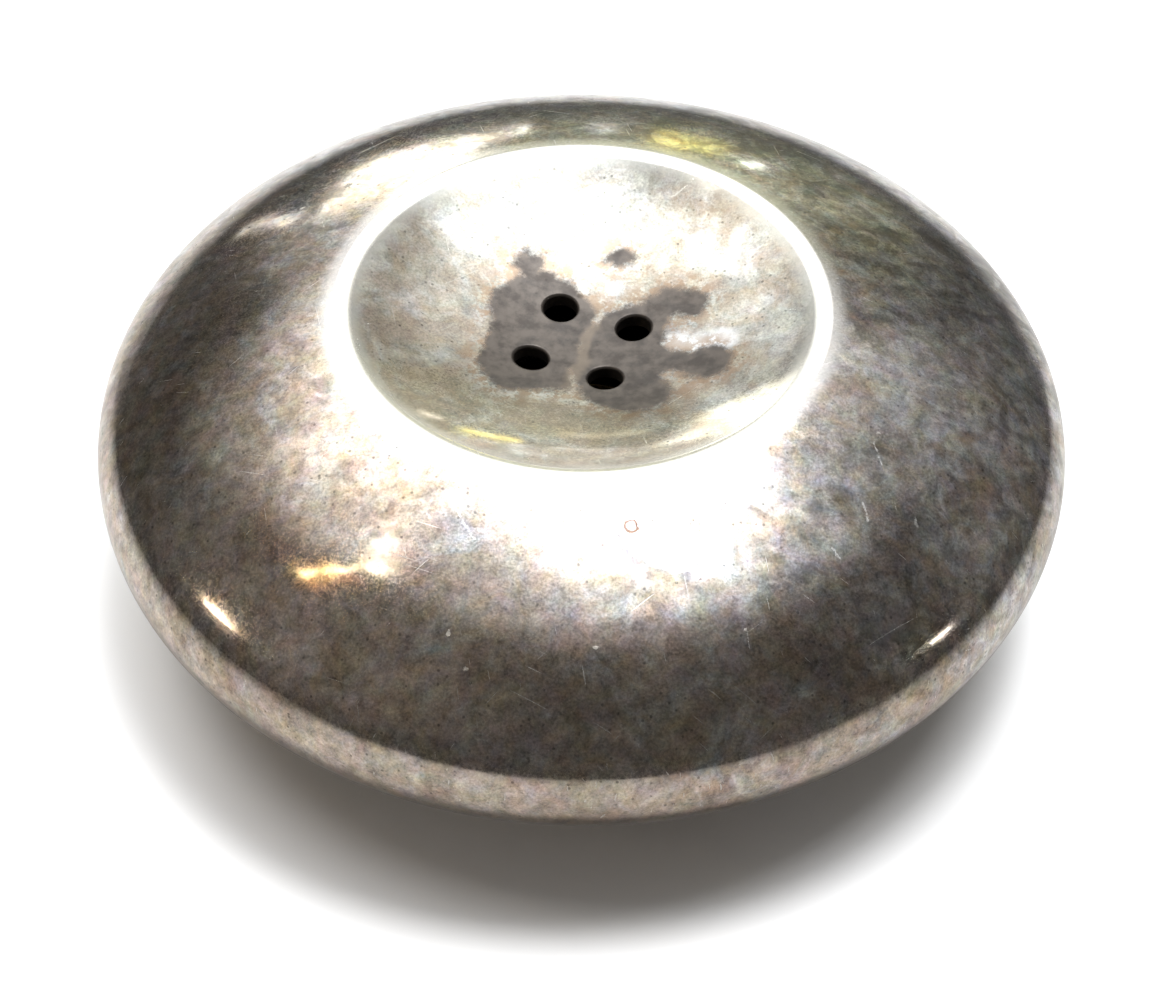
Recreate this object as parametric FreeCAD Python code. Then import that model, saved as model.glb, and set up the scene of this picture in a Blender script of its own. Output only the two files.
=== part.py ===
"""A squat, lens-shaped table salt shaker in silver-plated brass sheet.

The body is two spun shells, butted edge to edge round the widest part and soldered to a band inside.
The top shell rises to a rounded crest and falls into a shallow dish with four pouring holes.
The base shell stands on a wire foot ring, and its middle is pressed up into a well. A threaded
collar is soldered into the well's roof, and a screw plug with a cork washer closes it, so the shaker
is filled from underneath.

Frame: millimetres, +Z up, origin at the centre of the foot ring's flat underside.
An outline is drawn in the XZ plane and turned about Z. A tilt is the angle in degrees from +Z of a
surface's outward direction, so 0 faces up, 90 faces sideways and 180 faces down.
"""

import FreeCAD
import Part

import math
import os

# Driving dimensions
BODY_DIAMETER = 57.0
HEIGHT = 20.6  # foot to crest
EQUATOR_Z = 10.4  # height of the widest circle
SHEET = 0.8  # thickness of both shells
EDGE_RADIUS = 5.1  # roundness of the rim
EDGE_TILT = 46.0  # where the rim's arc meets the shoulder, and as far below the equator the bowl
SHOULDER_RADIUS = 18.2  # roundness between the rim and the flatter dome
SHOULDER_TILT = 25.0  # where the shoulder meets the dome

CREST_RADIUS = 13.9  # circle on which the crest runs
CREST_ROUND = 1.6  # roundness of the crest itself
DISH_DEPTH = 3.25  # crest down to the dish's middle
HOLE_DIAMETER = 2.0
HOLE_SPACING = 4.57  # side of the square that the four holes stand on
HOLE_TURN = -21.0  # degrees that the square is turned about Z
HOLE_EDGE = 0.18  # rounding of the holes' outer edges

BAND_THICKNESS = 0.6
BAND_HALF_TILT = 32.0  # the band reaches this far above and below the equator

BOTTOM_Z = 1.4  # underside of the bowl's flat bottom
FOOT_RADIUS = 14.2  # middle of the foot ring's section
FOOT_WIDTH = 2.4
FOOT_ROUND = 0.8

WELL_RADIUS = 11.0
WELL_ROOF_Z = 3.2  # underside of the well's roof
BEND_INSIDE = 0.4  # inside radius of both bends in the sheet
OPENING_RADIUS = 8.2  # hole in the well's roof for the collar

PITCH = 1.5
THREAD_TURNS = 2
THREAD_MALE_RADIUS = 7.4  # over the plug's thread
THREAD_MALE_ROOT = 6.9
THREAD_CLEARANCE = 0.15  # radial, at root and crest
FLANK_CLEARANCE = 0.12  # axial, on each flank
THREAD_FLAT = 0.2  # half the width of the plug's thread at its crest
FLANK_ANGLE = 30.0
THREAD_START_Z = 4.0  # middle of the plug's thread where it begins
THREAD_BITE = 0.15  # how far a thread's section runs into its wall, so that they join

COLLAR_TOP_Z = 8.5
COLLAR_NECK_RADIUS = 8.75
FLANGE_RADIUS = 9.8
FLANGE_THICKNESS = 0.8

GASKET_THICKNESS = 0.6
GASKET_INNER = 7.5
GASKET_OUTER = 9.8

PLUG_RADIUS = 10.2
PLUG_ROUND = 0.3
SLEEVE_INNER = 6.1
SLEEVE_HEIGHT = 5.0
BAR_LENGTH = 15.0
BAR_WIDTH = 2.0
BAR_HEIGHT = 1.3
BAR_FOOT = 0.45  # height of the bar's straight sides under its round back

ORIGIN = FreeCAD.Vector(0, 0, 0)
Z_AXIS = FreeCAD.Vector(0, 0, 1)

# What follows from them
BODY_RADIUS = BODY_DIAMETER / 2
ROOF_TOP_Z = WELL_ROOF_Z + SHEET
DISC_TOP_Z = WELL_ROOF_Z - GASKET_THICKNESS
DISC_UNDER_Z = DISC_TOP_Z - SHEET


def point(r, z):
    """The point at radius r and height z in the XZ plane."""
    return FreeCAD.Vector(r, 0, z)


def facing(tilt):
    """The unit vector at that tilt."""
    return point(math.sin(math.radians(tilt)), math.cos(math.radians(tilt)))


def line(start, end):
    return Part.LineSegment(start, end).toShape()


def arc(centre, radius, tilt_start, tilt_end):
    """The arc about centre, from one tilt to the other."""
    tilts = (tilt_start, (tilt_start + tilt_end) / 2, tilt_end)
    return Part.Arc(*[centre + facing(t) * radius for t in tilts]).toShape()


def turned(edges):
    """The solid that a closed outline makes when it is turned about Z."""
    return Part.Face(Part.Wire(edges)).revolve(ORIGIN, Z_AXIS, 360)


def polygon(*corners):
    """The edges of a closed outline with straight sides."""
    return [line(a, b) for a, b in zip(corners, corners[1:] + corners[:1])]


def tube(inner, outer, low, high):
    """A plain tube about Z."""
    return turned(polygon(point(inner, low), point(outer, low), point(outer, high), point(inner, high)))


# The outer surface's arcs. Each is tangent to the next, and the sheet's inner surface shares their centres.
EDGE_CENTRE = point(BODY_RADIUS - EDGE_RADIUS, EQUATOR_Z)
SHOULDER_CENTRE = EDGE_CENTRE + facing(EDGE_TILT) * (EDGE_RADIUS - SHOULDER_RADIUS)
CREST_CENTRE = point(CREST_RADIUS, HEIGHT - CREST_ROUND)


def dome_arc():
    """Centre and radius of the arc that touches the shoulder's arc at SHOULDER_TILT and the crest's arc."""
    out = facing(SHOULDER_TILT)
    across = CREST_CENTRE - SHOULDER_CENTRE
    smaller = SHOULDER_RADIUS - CREST_ROUND
    reach = (smaller**2 - across.dot(across)) / (2 * (across.dot(out) - smaller))
    return SHOULDER_CENTRE - out * reach, SHOULDER_RADIUS + reach


def dish_arc():
    """Centre and radius of the arc, centred on the axis, that touches the crest's arc in the dish."""
    drop = CREST_ROUND - DISH_DEPTH
    radius = (CREST_RADIUS**2 + drop**2 - CREST_ROUND**2) / (2 * DISH_DEPTH)
    return point(0, HEIGHT - DISH_DEPTH + radius), radius


def bowl_arc():
    """Centre and radius of the arc that leaves the rim below the equator and ends flat at BOTTOM_Z."""
    out = facing(180 - EDGE_TILT)
    rim_end = EDGE_CENTRE + out * EDGE_RADIUS
    radius = (rim_end.z - BOTTOM_Z) / (1 + out.z)
    return rim_end - out * radius, radius


DOME_CENTRE, DOME_RADIUS = dome_arc()
DISH_CENTRE, DISH_RADIUS = dish_arc()
BOWL_CENTRE, BOWL_RADIUS = bowl_arc()


def tilt_of(vector):
    return math.degrees(math.atan2(vector.x, vector.z))


def top_shell():
    """Rim, shoulder, dome, crest and dish in one sheet, with the four pouring holes."""
    crest_outer_tilt = tilt_of(CREST_CENTRE - DOME_CENTRE)
    crest_inner_tilt = tilt_of(DISH_CENTRE - CREST_CENTRE)
    dish_tilt = 180 + crest_inner_tilt  # of the dish arc's end, seen from its centre above
    dish_bottom = HEIGHT - DISH_DEPTH
    outline = [
        arc(EDGE_CENTRE, EDGE_RADIUS, 90, EDGE_TILT),
        arc(SHOULDER_CENTRE, SHOULDER_RADIUS, EDGE_TILT, SHOULDER_TILT),
        arc(DOME_CENTRE, DOME_RADIUS, SHOULDER_TILT, crest_outer_tilt),
        arc(CREST_CENTRE, CREST_ROUND, crest_outer_tilt, crest_inner_tilt),
        arc(DISH_CENTRE, DISH_RADIUS, dish_tilt, 180),
        line(point(0, dish_bottom), point(0, dish_bottom - SHEET)),
        arc(DISH_CENTRE, DISH_RADIUS + SHEET, 180, dish_tilt),
        arc(CREST_CENTRE, CREST_ROUND - SHEET, crest_inner_tilt, crest_outer_tilt),
        arc(DOME_CENTRE, DOME_RADIUS - SHEET, crest_outer_tilt, SHOULDER_TILT),
        arc(SHOULDER_CENTRE, SHOULDER_RADIUS - SHEET, SHOULDER_TILT, EDGE_TILT),
        arc(EDGE_CENTRE, EDGE_RADIUS - SHEET, EDGE_TILT, 90),
        line(point(BODY_RADIUS - SHEET, EQUATOR_Z), point(BODY_RADIUS, EQUATOR_Z)),
    ]
    shell = turned(outline)
    for drill in pouring_hole_drills():
        shell = shell.cut(drill)
    return rounded_holes(shell)


def pouring_hole_drills():
    """Four upright cylinders on the holes' square."""
    reach = HOLE_SPACING / math.sqrt(2)
    drills = []
    for corner in range(4):
        angle = math.radians(HOLE_TURN + 45 + 90 * corner)
        foot = FreeCAD.Vector(reach * math.cos(angle), reach * math.sin(angle), COLLAR_TOP_Z)
        drills.append(Part.makeCylinder(HOLE_DIAMETER / 2, HEIGHT - COLLAR_TOP_Z, foot))
    return drills


def rounded_holes(shell):
    """The shell with the holes' outer edges eased."""
    reach = HOLE_SPACING / math.sqrt(2)
    rims = []
    for edge in shell.Edges:
        middle = edge.BoundBox.Center
        small = edge.BoundBox.XLength < 1.5 * HOLE_DIAMETER and edge.BoundBox.YLength < 1.5 * HOLE_DIAMETER
        over_hole = abs(math.hypot(middle.x, middle.y) - reach) < HOLE_DIAMETER / 4
        level = edge.BoundBox.ZLength < HOLE_DIAMETER / 2
        if small and over_hole and level and middle.z > HEIGHT - DISH_DEPTH - SHEET / 2:
            rims.append(edge)
    return shell.makeFillet(HOLE_EDGE, rims)


def base_shell():
    """Rim, bowl, flat bottom and the well pressed up into it, with the collar's opening."""
    wall_bend = point(WELL_RADIUS + SHEET + BEND_INSIDE, BOTTOM_Z + SHEET + BEND_INSIDE)
    roof_bend = point(WELL_RADIUS - BEND_INSIDE, WELL_ROOF_Z - BEND_INSIDE)
    outer_bend = BEND_INSIDE + SHEET
    outline = [
        arc(EDGE_CENTRE, EDGE_RADIUS, 90, 180 - EDGE_TILT),
        arc(BOWL_CENTRE, BOWL_RADIUS, 180 - EDGE_TILT, 180),
        line(point(BOWL_CENTRE.x, BOTTOM_Z), point(wall_bend.x, BOTTOM_Z)),
        arc(wall_bend, outer_bend, 180, 270),
        line(point(WELL_RADIUS, wall_bend.z), point(WELL_RADIUS, roof_bend.z)),
        arc(roof_bend, BEND_INSIDE, 90, 0),
        line(point(roof_bend.x, WELL_ROOF_Z), point(OPENING_RADIUS, WELL_ROOF_Z)),
        line(point(OPENING_RADIUS, WELL_ROOF_Z), point(OPENING_RADIUS, ROOF_TOP_Z)),
        line(point(OPENING_RADIUS, ROOF_TOP_Z), point(roof_bend.x, ROOF_TOP_Z)),
        arc(roof_bend, outer_bend, 0, 90),
        line(point(WELL_RADIUS + SHEET, roof_bend.z), point(WELL_RADIUS + SHEET, wall_bend.z)),
        arc(wall_bend, BEND_INSIDE, 270, 180),
        line(point(wall_bend.x, BOTTOM_Z + SHEET), point(BOWL_CENTRE.x, BOTTOM_Z + SHEET)),
        arc(BOWL_CENTRE, BOWL_RADIUS - SHEET, 180, 180 - EDGE_TILT),
        arc(EDGE_CENTRE, EDGE_RADIUS - SHEET, 180 - EDGE_TILT, 90),
        line(point(BODY_RADIUS - SHEET, EQUATOR_Z), point(BODY_RADIUS, EQUATOR_Z)),
    ]
    return turned(outline)


def seam_band():
    """The curved strip inside the rim that both shells are soldered to."""
    outside = EDGE_RADIUS - SHEET
    inside = outside - BAND_THICKNESS
    high, low = 90 - BAND_HALF_TILT, 90 + BAND_HALF_TILT
    return turned(
        [
            arc(EDGE_CENTRE, outside, low, high),
            line(EDGE_CENTRE + facing(high) * outside, EDGE_CENTRE + facing(high) * inside),
            arc(EDGE_CENTRE, inside, high, low),
            line(EDGE_CENTRE + facing(low) * inside, EDGE_CENTRE + facing(low) * outside),
        ]
    )


def foot_ring():
    """A wire ring, ground flat below, whose top follows the bowl that it is soldered to."""
    inner, outer = FOOT_RADIUS - FOOT_WIDTH / 2, FOOT_RADIUS + FOOT_WIDTH / 2
    top = BOTTOM_Z + SHEET / 2
    inner_round = point(inner + FOOT_ROUND, FOOT_ROUND)
    outer_round = point(outer - FOOT_ROUND, FOOT_ROUND)
    ring = turned(
        [
            line(point(inner_round.x, 0), point(outer_round.x, 0)),
            arc(outer_round, FOOT_ROUND, 180, 90),
            line(point(outer, FOOT_ROUND), point(outer, top)),
            line(point(outer, top), point(inner, top)),
            line(point(inner, top), point(inner, FOOT_ROUND)),
            arc(inner_round, FOOT_ROUND, 270, 180),
        ]
    )
    return ring.cut(base_shell())


def thread_section(half_flat, deep, shallow):
    """A thread's closed section in the XZ plane, level with z = 0: narrow at radius deep, wide at shallow."""
    spread = abs(deep - shallow) * math.tan(math.radians(FLANK_ANGLE))
    corners = (
        point(deep, -half_flat),
        point(deep, half_flat),
        point(shallow, half_flat + spread),
        point(shallow, -half_flat - spread),
    )
    return Part.Wire(polygon(*corners))


def thread(section, start_z, turns):
    """The solid that a section sweeps along a right-hand helix, which begins over +X at start_z."""
    helix = Part.Wire(Part.makeHelix(PITCH, PITCH * turns, THREAD_MALE_ROOT).Edges)
    sweep = Part.BRepOffsetAPI.MakePipeShell(helix)
    sweep.setFrenetMode(True)
    sweep.add(section)
    sweep.build()
    sweep.makeSolid()
    solid = sweep.shape()
    solid.translate(point(0, start_z))
    return solid


def filler_collar():
    """The turned bush in the well's roof: spigot through the sheet, flange on it, neck and inside thread."""
    flange_top = ROOF_TOP_Z + FLANGE_THICKNESS
    bore = THREAD_MALE_RADIUS + THREAD_CLEARANCE
    bush = turned(
        polygon(
            point(bore, WELL_ROOF_Z),
            point(OPENING_RADIUS, WELL_ROOF_Z),
            point(OPENING_RADIUS, ROOF_TOP_Z),
            point(FLANGE_RADIUS, ROOF_TOP_Z),
            point(FLANGE_RADIUS, flange_top),
            point(COLLAR_NECK_RADIUS, flange_top),
            point(COLLAR_NECK_RADIUS, COLLAR_TOP_Z),
            point(bore, COLLAR_TOP_Z),
        )
    )
    crest = THREAD_MALE_ROOT + THREAD_CLEARANCE
    plug_half_there = THREAD_FLAT + (THREAD_MALE_RADIUS - crest) * math.tan(math.radians(FLANK_ANGLE))
    crest_flat = PITCH / 2 - plug_half_there - FLANK_CLEARANCE
    section = thread_section(crest_flat, crest, bore + THREAD_BITE)
    return bush.fuse(thread(section, THREAD_START_Z + PITCH / 2, THREAD_TURNS)).removeSplitter()


def plug_gasket():
    """The flat cork washer between the plug's disc and the well's roof."""
    return tube(GASKET_INNER, GASKET_OUTER, DISC_TOP_Z, WELL_ROOF_Z)


def plug_disc():
    """The plug's sheet disc, with a rounded rim below."""
    corner = point(PLUG_RADIUS - PLUG_ROUND, DISC_UNDER_Z + PLUG_ROUND)
    return turned(
        [
            line(point(0, DISC_UNDER_Z), point(corner.x, DISC_UNDER_Z)),
            arc(corner, PLUG_ROUND, 180, 90),
            line(point(PLUG_RADIUS, corner.z), point(PLUG_RADIUS, DISC_TOP_Z)),
            line(point(PLUG_RADIUS, DISC_TOP_Z), point(0, DISC_TOP_Z)),
            line(point(0, DISC_TOP_Z), point(0, DISC_UNDER_Z)),
        ]
    )


def plug_sleeve():
    """The tube soldered on the disc, with the thread that screws into the collar."""
    wall = tube(SLEEVE_INNER, THREAD_MALE_ROOT, DISC_TOP_Z, DISC_TOP_Z + SLEEVE_HEIGHT)
    section = thread_section(THREAD_FLAT, THREAD_MALE_RADIUS, THREAD_MALE_ROOT - THREAD_BITE)
    return wall.fuse(thread(section, THREAD_START_Z, THREAD_TURNS)).removeSplitter()


def turn_bar():
    """The half-round bar soldered under the disc, which fingers or a coin's edge turn the plug by."""
    half = BAR_WIDTH / 2
    foot_z = DISC_UNDER_Z - BAR_FOOT
    back_z = DISC_UNDER_Z - BAR_HEIGHT
    at = -BAR_LENGTH / 2
    corners = [(-half, DISC_UNDER_Z), (-half, foot_z), (0, back_z), (half, foot_z), (half, DISC_UNDER_Z)]
    left_top, left_foot, back, right_foot, right_top = [FreeCAD.Vector(at, y, z) for y, z in corners]
    section = [
        line(left_top, left_foot),
        Part.Arc(left_foot, back, right_foot).toShape(),
        line(right_foot, right_top),
        line(right_top, left_top),
    ]
    bar = Part.Face(Part.Wire(section)).extrude(FreeCAD.Vector(BAR_LENGTH, 0, 0))
    ends = Part.makeCylinder(BAR_LENGTH / 2, BAR_HEIGHT * 2, point(0, back_z - BAR_HEIGHT / 2))
    return bar.common(ends)


PIECES = (
    top_shell,
    base_shell,
    seam_band,
    foot_ring,
    filler_collar,
    plug_gasket,
    plug_disc,
    plug_sleeve,
    turn_bar,
)


def main():
    os.makedirs("parts", exist_ok=True)
    for make in PIECES:
        shape = make()
        solids = shape.Solids
        if len(solids) != 1 or not solids[0].isValid():
            raise RuntimeError(f"{make.__name__} isn't one valid solid")
        solids[0].exportStep(f"parts/{make.__name__}.step")
        print(f"{make.__name__}: {solids[0].Volume:.1f} mm3")


main()
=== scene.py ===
"""The looks of a squat, lens-shaped salt shaker in tarnished silver plate.

The spun shells, the foot ring and the screw plug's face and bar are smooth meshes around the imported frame.
Outlines are in millimetres in the XZ plane and turned about Z. They run counterclockwise, so the surface
faces to the right of the way they run. A tilt is the angle in degrees from +Z of a direction in that plane.
"""

import math

import bpy
import numpy as np
from mathutils import Matrix, Vector


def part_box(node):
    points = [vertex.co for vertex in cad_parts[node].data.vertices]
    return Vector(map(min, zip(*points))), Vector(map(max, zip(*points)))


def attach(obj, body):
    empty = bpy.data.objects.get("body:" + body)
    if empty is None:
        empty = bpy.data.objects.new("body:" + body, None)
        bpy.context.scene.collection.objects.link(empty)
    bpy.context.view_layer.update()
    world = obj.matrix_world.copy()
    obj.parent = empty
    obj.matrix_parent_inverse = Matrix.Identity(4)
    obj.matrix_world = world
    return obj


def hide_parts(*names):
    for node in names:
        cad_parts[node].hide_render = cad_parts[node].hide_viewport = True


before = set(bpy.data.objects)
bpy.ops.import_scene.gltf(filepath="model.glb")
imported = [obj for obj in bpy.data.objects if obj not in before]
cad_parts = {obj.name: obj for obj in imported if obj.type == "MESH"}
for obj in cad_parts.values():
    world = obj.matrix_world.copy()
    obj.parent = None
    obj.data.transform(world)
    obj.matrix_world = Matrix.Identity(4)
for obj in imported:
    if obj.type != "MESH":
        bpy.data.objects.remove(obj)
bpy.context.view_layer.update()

MM = 0.001


def span(node):
    """A node's lowest and highest corner, in millimetres."""
    return [np.array(corner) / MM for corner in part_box(node)]


# From the frame
BODY_RADIUS = span("top_shell")[1][0]
HEIGHT = span("top_shell")[1][2]
EQUATOR_Z = span("top_shell")[0][2]
BOTTOM_Z = span("base_shell")[0][2]
FOOT_OUTER = span("foot_ring")[1][0]
WELL_ROOF_Z = span("filler_collar")[0][2]
PLUG_RADIUS = span("plug_disc")[1][0]
DISC_UNDER_Z, DISC_TOP_Z = span("plug_disc")[0][2], span("plug_disc")[1][2]
BAR_HALF_LENGTH, BAR_HALF_WIDTH = span("turn_bar")[1][0], span("turn_bar")[1][1]
BAR_UNDER_Z = span("turn_bar")[0][2]

# Shapes that the boxes don't give, as in the part
SHEET = 0.8
EDGE_RADIUS = 5.1
EDGE_TILT = 46.0
SHOULDER_RADIUS = 18.2
SHOULDER_TILT = 25.0
CREST_RADIUS = 13.9
CREST_ROUND = 1.6
DISH_DEPTH = 3.25
HOLE_RADIUS = 1.0
HOLE_SPACING = 4.57
HOLE_TURN = -21.0
HOLE_EDGE = 0.18
FOOT_WIDTH = 2.4
FOOT_ROUND = 0.8
SOLDER = 0.3  # size of the fillets of solder round the foot ring and the bar
WELL_RADIUS = 11.0
BEND_INSIDE = 0.4
OPENING_RADIUS = 8.2
PLUG_ROUND = 0.3
BAR_FOOT = 0.45

SEGMENTS = 256
MIDDLE_RADIUS = 8.0  # the dish's middle, which holds the holes, is meshed apart out to here
RINGS_TO_SQUARE = 5  # rings from there to the square round the four holes
RINGS_TO_HOLE = 9  # and from each hole's own square to its edge


# Outlines


def point(r, z):
    return np.array([r, z])


def facing(tilt):
    """The unit vector at that tilt."""
    return point(math.sin(math.radians(tilt)), math.cos(math.radians(tilt)))


def tilt_of(vector):
    return math.degrees(math.atan2(vector[0], vector[1]))


def arc(centre, radius, start, end, step=2.0):
    """Points and surface normals along an arc. A falling tilt is a convex stretch of the outline."""
    side = 1 if end < start else -1
    count = max(2, math.ceil(abs(end - start) / step))
    tilts = np.linspace(start, end, count + 1)
    return [(centre + facing(t) * radius, facing(t) * side) for t in tilts]


def line(start, end):
    """Both ends of a straight stretch, with its normal."""
    along = (end - start) / np.linalg.norm(end - start)
    normal = point(along[1], -along[0])
    return [(start, normal), (end, normal)]


EDGE_CENTRE = point(BODY_RADIUS - EDGE_RADIUS, EQUATOR_Z)
SHOULDER_CENTRE = EDGE_CENTRE + facing(EDGE_TILT) * (EDGE_RADIUS - SHOULDER_RADIUS)
CREST_CENTRE = point(CREST_RADIUS, HEIGHT - CREST_ROUND)


def dome_arc():
    """Centre and radius of the arc that touches the shoulder's arc at SHOULDER_TILT and the crest's arc."""
    out = facing(SHOULDER_TILT)
    across = CREST_CENTRE - SHOULDER_CENTRE
    smaller = SHOULDER_RADIUS - CREST_ROUND
    reach = (smaller**2 - across @ across) / (2 * (across @ out - smaller))
    return SHOULDER_CENTRE - out * reach, SHOULDER_RADIUS + reach


def dish_arc():
    """Centre and radius of the arc, centred on the axis, that touches the crest's arc in the dish."""
    drop = CREST_ROUND - DISH_DEPTH
    radius = (CREST_RADIUS**2 + drop**2 - CREST_ROUND**2) / (2 * DISH_DEPTH)
    return point(0, HEIGHT - DISH_DEPTH + radius), radius


def bowl_arc():
    """Centre and radius of the arc that leaves the rim below the equator and ends flat at BOTTOM_Z."""
    out = facing(180 - EDGE_TILT)
    rim_end = EDGE_CENTRE + out * EDGE_RADIUS
    radius = (rim_end[1] - BOTTOM_Z) / (1 + out[1])
    return rim_end - out * radius, radius


DOME_CENTRE, DOME_RADIUS = dome_arc()
DISH_CENTRE, DISH_RADIUS = dish_arc()
BOWL_CENTRE, BOWL_RADIUS = bowl_arc()


# Surfaces


class Surface:
    """Welded points, and faces whose corners have normals of their own."""

    def __init__(self):
        self.points = []
        self.index = {}
        self.faces = []
        self.normals = []

    def corner(self, place):
        key = tuple(round(float(c), 6) for c in place)
        if key not in self.index:
            self.index[key] = len(self.points)
            self.points.append(place)
        return self.index[key]

    def face(self, corners):
        """Adds a face, whose corners run counterclockwise seen from outside."""
        found = [(self.corner(place), normal) for place, normal in corners]
        kept = [c for i, c in enumerate(found) if c[0] != found[i - 1][0]]
        if len(kept) > 2:
            self.faces.append([index for index, _ in kept])
            self.normals.extend(normal for _, normal in kept)

    def skin(self, rings):
        """Joins each closed ring to the next. A ring is a list of places with normals."""
        for first, second in zip(rings, rings[1:]):
            for j in range(len(first)):
                k = (j + 1) % len(first)
                self.face([first[j], first[k], second[k], second[j]])

    def turned(self, *stretches):
        """Turns stretches of outline about Z."""
        for stretch in stretches:
            self.skin([turned_ring(place, normal) for place, normal in stretch])

    def mesh(self, name):
        mesh = bpy.data.meshes.new(name)
        mesh.from_pydata([[c * MM for c in place] for place in self.points], [], self.faces)
        mesh.shade_smooth()
        mesh.normals_split_custom_set([tuple(n / np.linalg.norm(n)) for n in self.normals])
        return mesh


def spokes():
    """Directions of the rings' points. The first points at a hole."""
    angles = np.radians(HOLE_TURN + 45) + np.arange(SEGMENTS) * 2 * math.pi / SEGMENTS
    return np.stack([np.cos(angles), np.sin(angles)], 1)


SPOKES = spokes()


def turned_ring(place, normal):
    return [
        (np.array([*(place[0] * way), place[1]]), np.array([*(normal[0] * way), normal[1]]))
        for way in SPOKES
    ]


def square_loop(centre, half, count):
    """Points round a square, count to a side, counterclockwise from its (+, +) corner."""
    corners = np.array([(1, 1), (-1, 1), (-1, -1), (1, -1)])
    sides = zip(corners, np.roll(corners, -1, axis=0))
    return np.array([centre + half * (a + (b - a) * i / count) for a, b in sides for i in range(count)])


def on_dish(plan, radius, side):
    """Points of the plan on the sphere of that radius about the dish's centre, with normals up or down."""
    c, s = math.cos(math.radians(HOLE_TURN)), math.sin(math.radians(HOLE_TURN))
    ring = []
    for x, y in plan @ np.array([[c, s], [-s, c]]):
        z = DISH_CENTRE[1] - math.sqrt(radius**2 - x**2 - y**2)
        place = np.array([x, y, z])
        ring.append((place, side * (np.array([0, 0, DISH_CENTRE[1]]) - place) / radius))
    return ring


def dish_middle(surface):
    """The sheet of the dish's middle, out to MIDDLE_RADIUS: both faces and the four holes' rims and walls."""
    half = HOLE_SPACING / 2
    per_side = SEGMENTS // 8
    square = square_loop(np.zeros(2), HOLE_SPACING, 2 * per_side)
    angles = math.pi / 4 + np.arange(SEGMENTS) * 2 * math.pi / SEGMENTS
    circle = MIDDLE_RADIUS * np.stack([np.cos(angles), np.sin(angles)], 1)
    faces = ((DISH_RADIUS, 1, HOLE_RADIUS + HOLE_EDGE), (DISH_RADIUS + SHEET, -1, HOLE_RADIUS))
    for radius, side, hole_radius in faces:
        shares = np.linspace(0, 1, RINGS_TO_SQUARE)
        collar = [on_dish(circle + (square - circle) * t, radius, side) for t in shares]
        surface.skin(collar[::side])
        for centre in square_loop(np.zeros(2), half, 1):
            edge = square_loop(centre, half, per_side)
            ways = (edge - centre) / np.linalg.norm(edge - centre, axis=1)[:, None]
            hole = centre + ways * hole_radius
            shares = np.linspace(0, 1, RINGS_TO_HOLE) ** 0.8  # closer together at the hole
            cell = [on_dish(edge + (hole - edge) * t, radius, side) for t in shares]
            surface.skin(cell[::side])
    for centre in square_loop(np.zeros(2), half, 1):
        edge = square_loop(centre, half, per_side)
        ways = (edge - centre) / np.linalg.norm(edge - centre, axis=1)[:, None]
        surface.skin(hole_rim(centre, ways))


def hole_rim(centre, ways):
    """Rings from a hole's eased edge down its wall."""
    top = on_dish(centre + ways * (HOLE_RADIUS + HOLE_EDGE), DISH_RADIUS, 1)
    low = on_dish(centre + ways * HOLE_RADIUS, DISH_RADIUS + SHEET, -1)
    inward = [np.array([*(b[0] - a[0])[:2], 0]) / HOLE_EDGE for a, b in zip(top, low)]
    rings = []
    for t in np.radians(np.linspace(0, 90, 7)):
        shift = HOLE_EDGE * (math.sin(t) * np.array(inward) - (1 - math.cos(t)) * np.array([0, 0, 1]))
        places = [a[0] + s for a, s in zip(top, shift)]
        normals = [a[1] * math.cos(t) + way * math.sin(t) for a, way in zip(top, inward)]
        rings.append(list(zip(places, normals)))
    rings.append([(b[0], way) for b, way in zip(low, inward)])
    return rings


def top_shell():
    crest_outer = tilt_of(CREST_CENTRE - DOME_CENTRE)
    crest_inner = tilt_of(DISH_CENTRE - CREST_CENTRE)
    dish_end = 180 + crest_inner
    outer_start = 180 - math.degrees(math.asin(MIDDLE_RADIUS / DISH_RADIUS))
    inner_start = 180 - math.degrees(math.asin(MIDDLE_RADIUS / (DISH_RADIUS + SHEET)))
    surface = Surface()
    surface.turned(
        arc(EDGE_CENTRE, EDGE_RADIUS, 90, EDGE_TILT),
        arc(SHOULDER_CENTRE, SHOULDER_RADIUS, EDGE_TILT, SHOULDER_TILT, 1.2),
        arc(DOME_CENTRE, DOME_RADIUS, SHOULDER_TILT, crest_outer, 0.6),
        arc(CREST_CENTRE, CREST_ROUND, crest_outer, crest_inner),
        arc(DISH_CENTRE, DISH_RADIUS, dish_end, outer_start, 0.8),
    )
    dish_middle(surface)
    surface.turned(
        arc(DISH_CENTRE, DISH_RADIUS + SHEET, inner_start, dish_end),
        arc(CREST_CENTRE, CREST_ROUND - SHEET, crest_inner, crest_outer, 5),
        arc(DOME_CENTRE, DOME_RADIUS - SHEET, crest_outer, SHOULDER_TILT),
        arc(SHOULDER_CENTRE, SHOULDER_RADIUS - SHEET, SHOULDER_TILT, EDGE_TILT),
        arc(EDGE_CENTRE, EDGE_RADIUS - SHEET, EDGE_TILT, 90, 4),
        line(point(BODY_RADIUS - SHEET, EQUATOR_Z), point(BODY_RADIUS, EQUATOR_Z)),
    )
    return surface


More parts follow.
